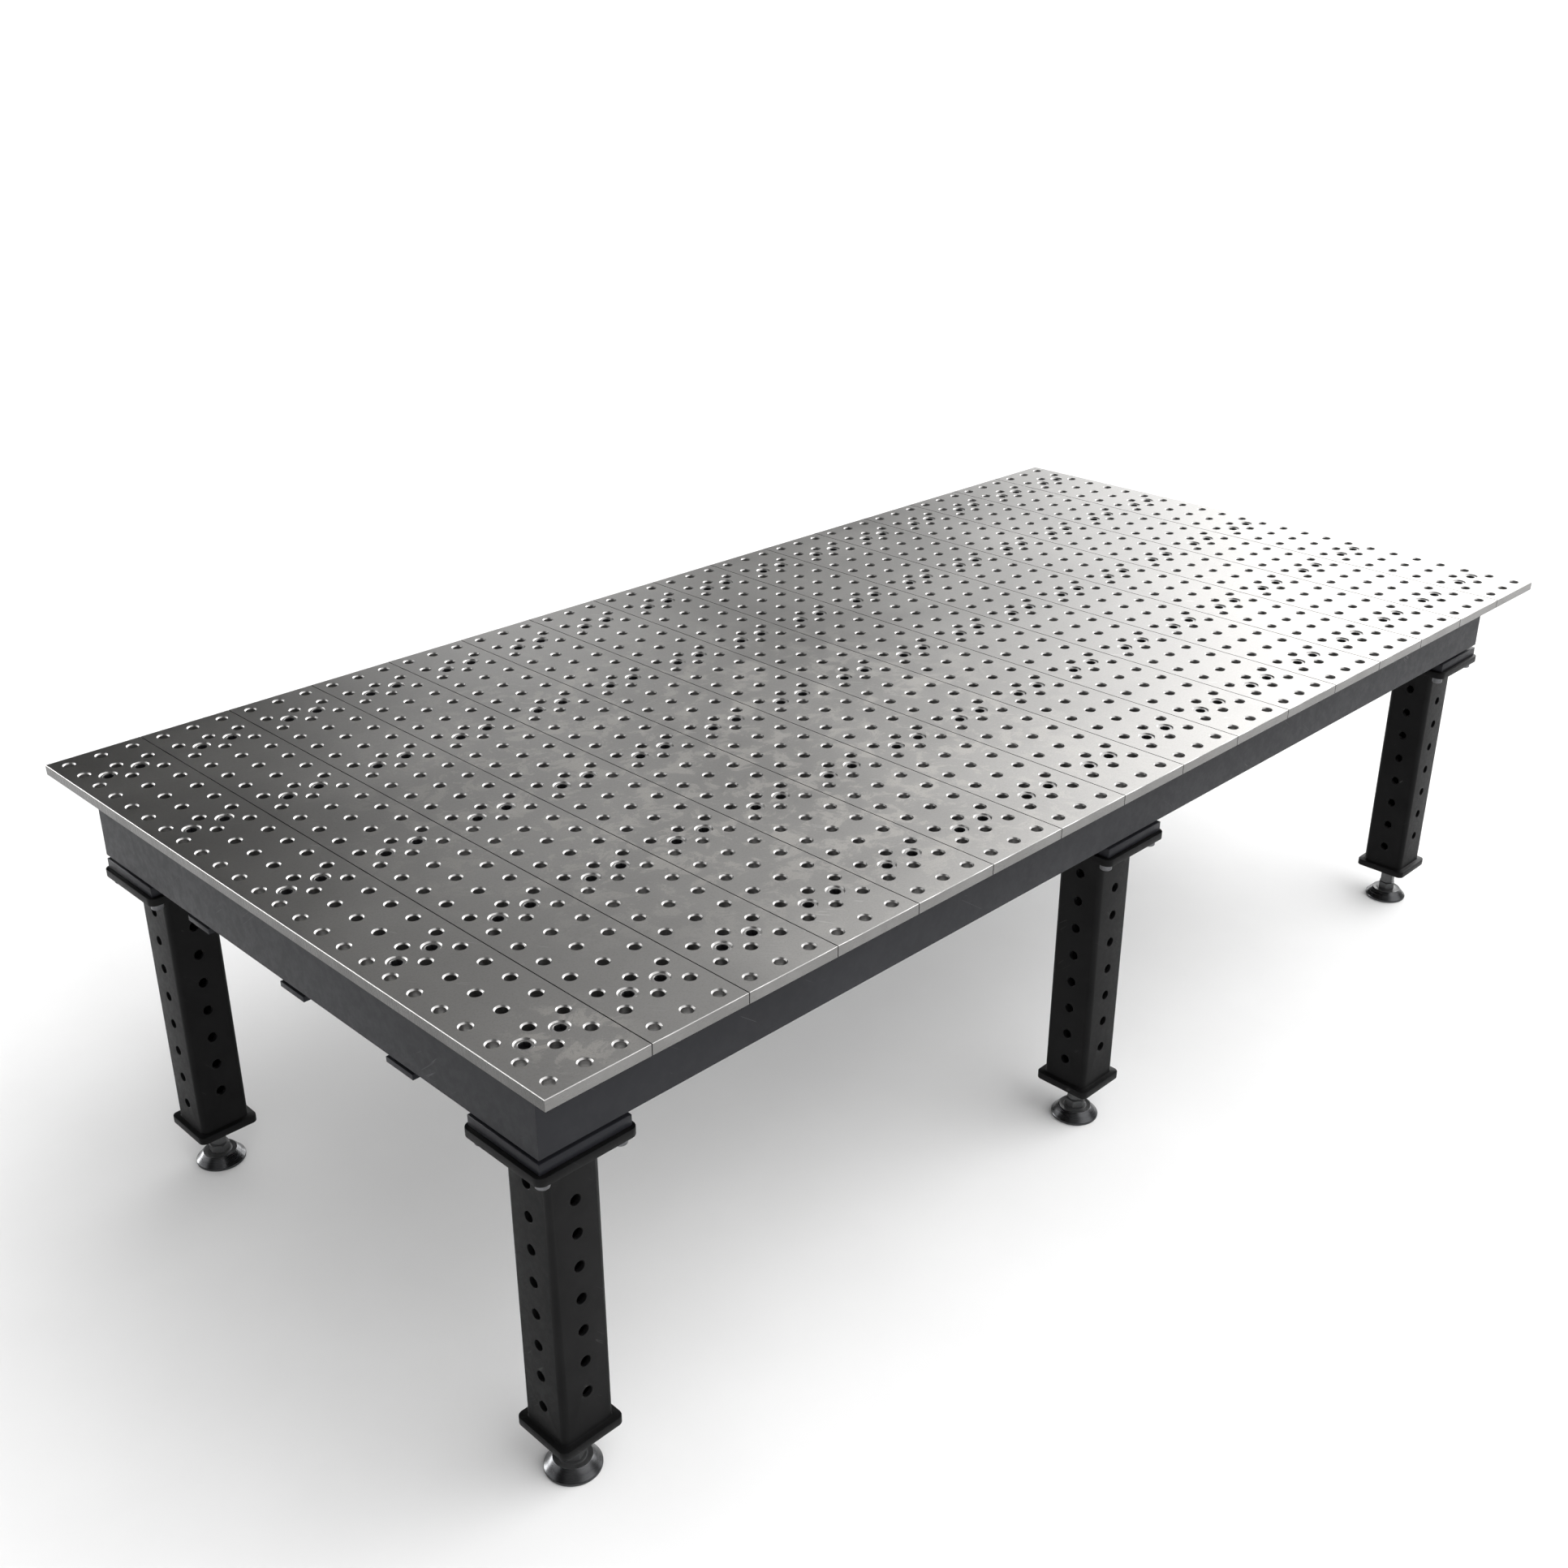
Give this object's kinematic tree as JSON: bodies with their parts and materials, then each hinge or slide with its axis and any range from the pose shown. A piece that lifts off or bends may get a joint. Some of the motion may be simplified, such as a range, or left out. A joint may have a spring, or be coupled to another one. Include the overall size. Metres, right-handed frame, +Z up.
{
  "type": "welding table",
  "caption": "Long steel welding table with a slatted top of drilled planks, box frame and square drilled legs on round levelling feet.",
  "frame": {"origin": "on the floor under the middle of the table top", "axes": "+X along the length of the table, +Y across its width towards the back, +Z up"},
  "size_m": [2.4384, 1.2192, 0.7112],
  "materials": {
    "bare_steel": "milled and brushed, bare",
    "grey_paint": "satin grey paint",
    "black_paint": "satin black paint",
    "dark_steel": "dark oxide, semi-gloss",
    "foot_steel": "turned, dark, glossy"
  },
  "bodies": {
    "table": {"top_plank_01": "bare_steel", "top_plank_02": "bare_steel", "top_plank_03": "bare_steel", "top_plank_04": "bare_steel", "top_plank_05": "bare_steel", "top_plank_06": "bare_steel", "top_plank_07": "bare_steel", "top_plank_08": "bare_steel", "top_plank_09": "bare_steel", "top_plank_10": "bare_steel", "top_plank_11": "bare_steel", "top_plank_12": "bare_steel", "top_plank_13": "bare_steel", "top_plank_14": "bare_steel", "top_plank_15": "bare_steel", "top_plank_16": "bare_steel", "side_skirt_front": "grey_paint", "side_skirt_back": "grey_paint", "end_skirt_left": "grey_paint", "end_skirt_right": "grey_paint", "rail_1": "grey_paint", "rail_2": "grey_paint", "rail_3": "grey_paint", "rail_4": "grey_paint", "rail_5": "grey_paint", "cross_rib_left": "grey_paint", "cross_rib_mid": "grey_paint", "cross_rib_right": "grey_paint", "leg_pad_front_left": "grey_paint", "leg_front_left": "black_paint", "leg_pad_front_mid": "grey_paint", "leg_front_mid": "black_paint", "leg_pad_front_right": "grey_paint", "leg_front_right": "black_paint", "leg_pad_back_left": "grey_paint", "leg_back_left": "black_paint", "leg_pad_back_mid": "grey_paint", "leg_back_mid": "black_paint", "leg_pad_back_right": "grey_paint", "leg_back_right": "black_paint"},
    "long_nut_front_left": {"long_nut_front_left": "dark_steel"},
    "levelling_screw_front_left": {"levelling_screw_front_left": "dark_steel"},
    "foot_pad_front_left": {"foot_pad_front_left": "foot_steel"},
    "long_nut_front_mid": {"long_nut_front_mid": "dark_steel"},
    "levelling_screw_front_mid": {"levelling_screw_front_mid": "dark_steel"},
    "foot_pad_front_mid": {"foot_pad_front_mid": "foot_steel"},
    "long_nut_front_right": {"long_nut_front_right": "dark_steel"},
    "levelling_screw_front_right": {"levelling_screw_front_right": "dark_steel"},
    "foot_pad_front_right": {"foot_pad_front_right": "foot_steel"},
    "long_nut_back_left": {"long_nut_back_left": "dark_steel"},
    "levelling_screw_back_left": {"levelling_screw_back_left": "dark_steel"},
    "foot_pad_back_left": {"foot_pad_back_left": "foot_steel"},
    "long_nut_back_mid": {"long_nut_back_mid": "dark_steel"},
    "levelling_screw_back_mid": {"levelling_screw_back_mid": "dark_steel"},
    "foot_pad_back_mid": {"foot_pad_back_mid": "foot_steel"},
    "long_nut_back_right": {"long_nut_back_right": "dark_steel"},
    "levelling_screw_back_right": {"levelling_screw_back_right": "dark_steel"},
    "foot_pad_back_right": {"foot_pad_back_right": "foot_steel"}
  },
  "joints": [
    {"name": "level_front_left", "type": "slide", "parent": "table", "child": "foot_pad_front_left", "axis": [0, 0, -1], "range_m": [0, 0.03]},
    {"name": "screw_turn_front_left", "type": "hinge", "parent": "foot_pad_front_left", "child": "levelling_screw_front_left", "pos_m": [-1.1113, -0.4672, 0.0265], "axis": [0, 0, -1], "range_deg": [0, 4682.4]},
    {"name": "nut_turn_front_left", "type": "hinge", "parent": "table", "child": "long_nut_front_left", "pos_m": [-1.1113, -0.4672, 0.0545], "axis": [0, 0, 1], "continuous": true},
    {"name": "level_front_mid", "type": "slide", "parent": "table", "child": "foot_pad_front_mid", "axis": [0, 0, -1], "range_m": [0, 0.03]},
    {"name": "screw_turn_front_mid", "type": "hinge", "parent": "foot_pad_front_mid", "child": "levelling_screw_front_mid", "pos_m": [0, -0.4672, 0.0265], "axis": [0, 0, -1], "range_deg": [0, 4682.4]},
    {"name": "nut_turn_front_mid", "type": "hinge", "parent": "table", "child": "long_nut_front_mid", "pos_m": [0, -0.4672, 0.0545], "axis": [0, 0, 1], "continuous": true},
    {"name": "level_front_right", "type": "slide", "parent": "table", "child": "foot_pad_front_right", "axis": [0, 0, -1], "range_m": [0, 0.03]},
    {"name": "screw_turn_front_right", "type": "hinge", "parent": "foot_pad_front_right", "child": "levelling_screw_front_right", "pos_m": [1.1113, -0.4672, 0.0265], "axis": [0, 0, -1], "range_deg": [0, 4682.4]},
    {"name": "nut_turn_front_right", "type": "hinge", "parent": "table", "child": "long_nut_front_right", "pos_m": [1.1113, -0.4672, 0.0545], "axis": [0, 0, 1], "continuous": true},
    {"name": "level_back_left", "type": "slide", "parent": "table", "child": "foot_pad_back_left", "axis": [0, 0, -1], "range_m": [0, 0.03]},
    {"name": "screw_turn_back_left", "type": "hinge", "parent": "foot_pad_back_left", "child": "levelling_screw_back_left", "pos_m": [-1.1113, 0.4672, 0.0265], "axis": [0, 0, -1], "range_deg": [0, 4682.4]},
    {"name": "nut_turn_back_left", "type": "hinge", "parent": "table", "child": "long_nut_back_left", "pos_m": [-1.1113, 0.4672, 0.0545], "axis": [0, 0, 1], "continuous": true},
    {"name": "level_back_mid", "type": "slide", "parent": "table", "child": "foot_pad_back_mid", "axis": [0, 0, -1], "range_m": [0, 0.03]},
    {"name": "screw_turn_back_mid", "type": "hinge", "parent": "foot_pad_back_mid", "child": "levelling_screw_back_mid", "pos_m": [0, 0.4672, 0.0265], "axis": [0, 0, -1], "range_deg": [0, 4682.4]},
    {"name": "nut_turn_back_mid", "type": "hinge", "parent": "table", "child": "long_nut_back_mid", "pos_m": [0, 0.4672, 0.0545], "axis": [0, 0, 1], "continuous": true},
    {"name": "level_back_right", "type": "slide", "parent": "table", "child": "foot_pad_back_right", "axis": [0, 0, -1], "range_m": [0, 0.03]},
    {"name": "screw_turn_back_right", "type": "hinge", "parent": "foot_pad_back_right", "child": "levelling_screw_back_right", "pos_m": [1.1113, 0.4672, 0.0265], "axis": [0, 0, -1], "range_deg": [0, 4682.4]},
    {"name": "nut_turn_back_right", "type": "hinge", "parent": "table", "child": "long_nut_back_right", "pos_m": [1.1113, 0.4672, 0.0545], "axis": [0, 0, 1], "continuous": true}
  ],
  "couplings": [
    {"joint": "screw_turn_front_left", "follows": "level_front_left", "rad_per_m": 2721.2},
    {"joint": "screw_turn_front_mid", "follows": "level_front_mid", "rad_per_m": 2721.2},
    {"joint": "screw_turn_front_right", "follows": "level_front_right", "rad_per_m": 2721.2},
    {"joint": "screw_turn_back_left", "follows": "level_back_left", "rad_per_m": 2721.2},
    {"joint": "screw_turn_back_mid", "follows": "level_back_mid", "rad_per_m": 2721.2},
    {"joint": "screw_turn_back_right", "follows": "level_back_right", "rad_per_m": 2721.2}
  ]
}
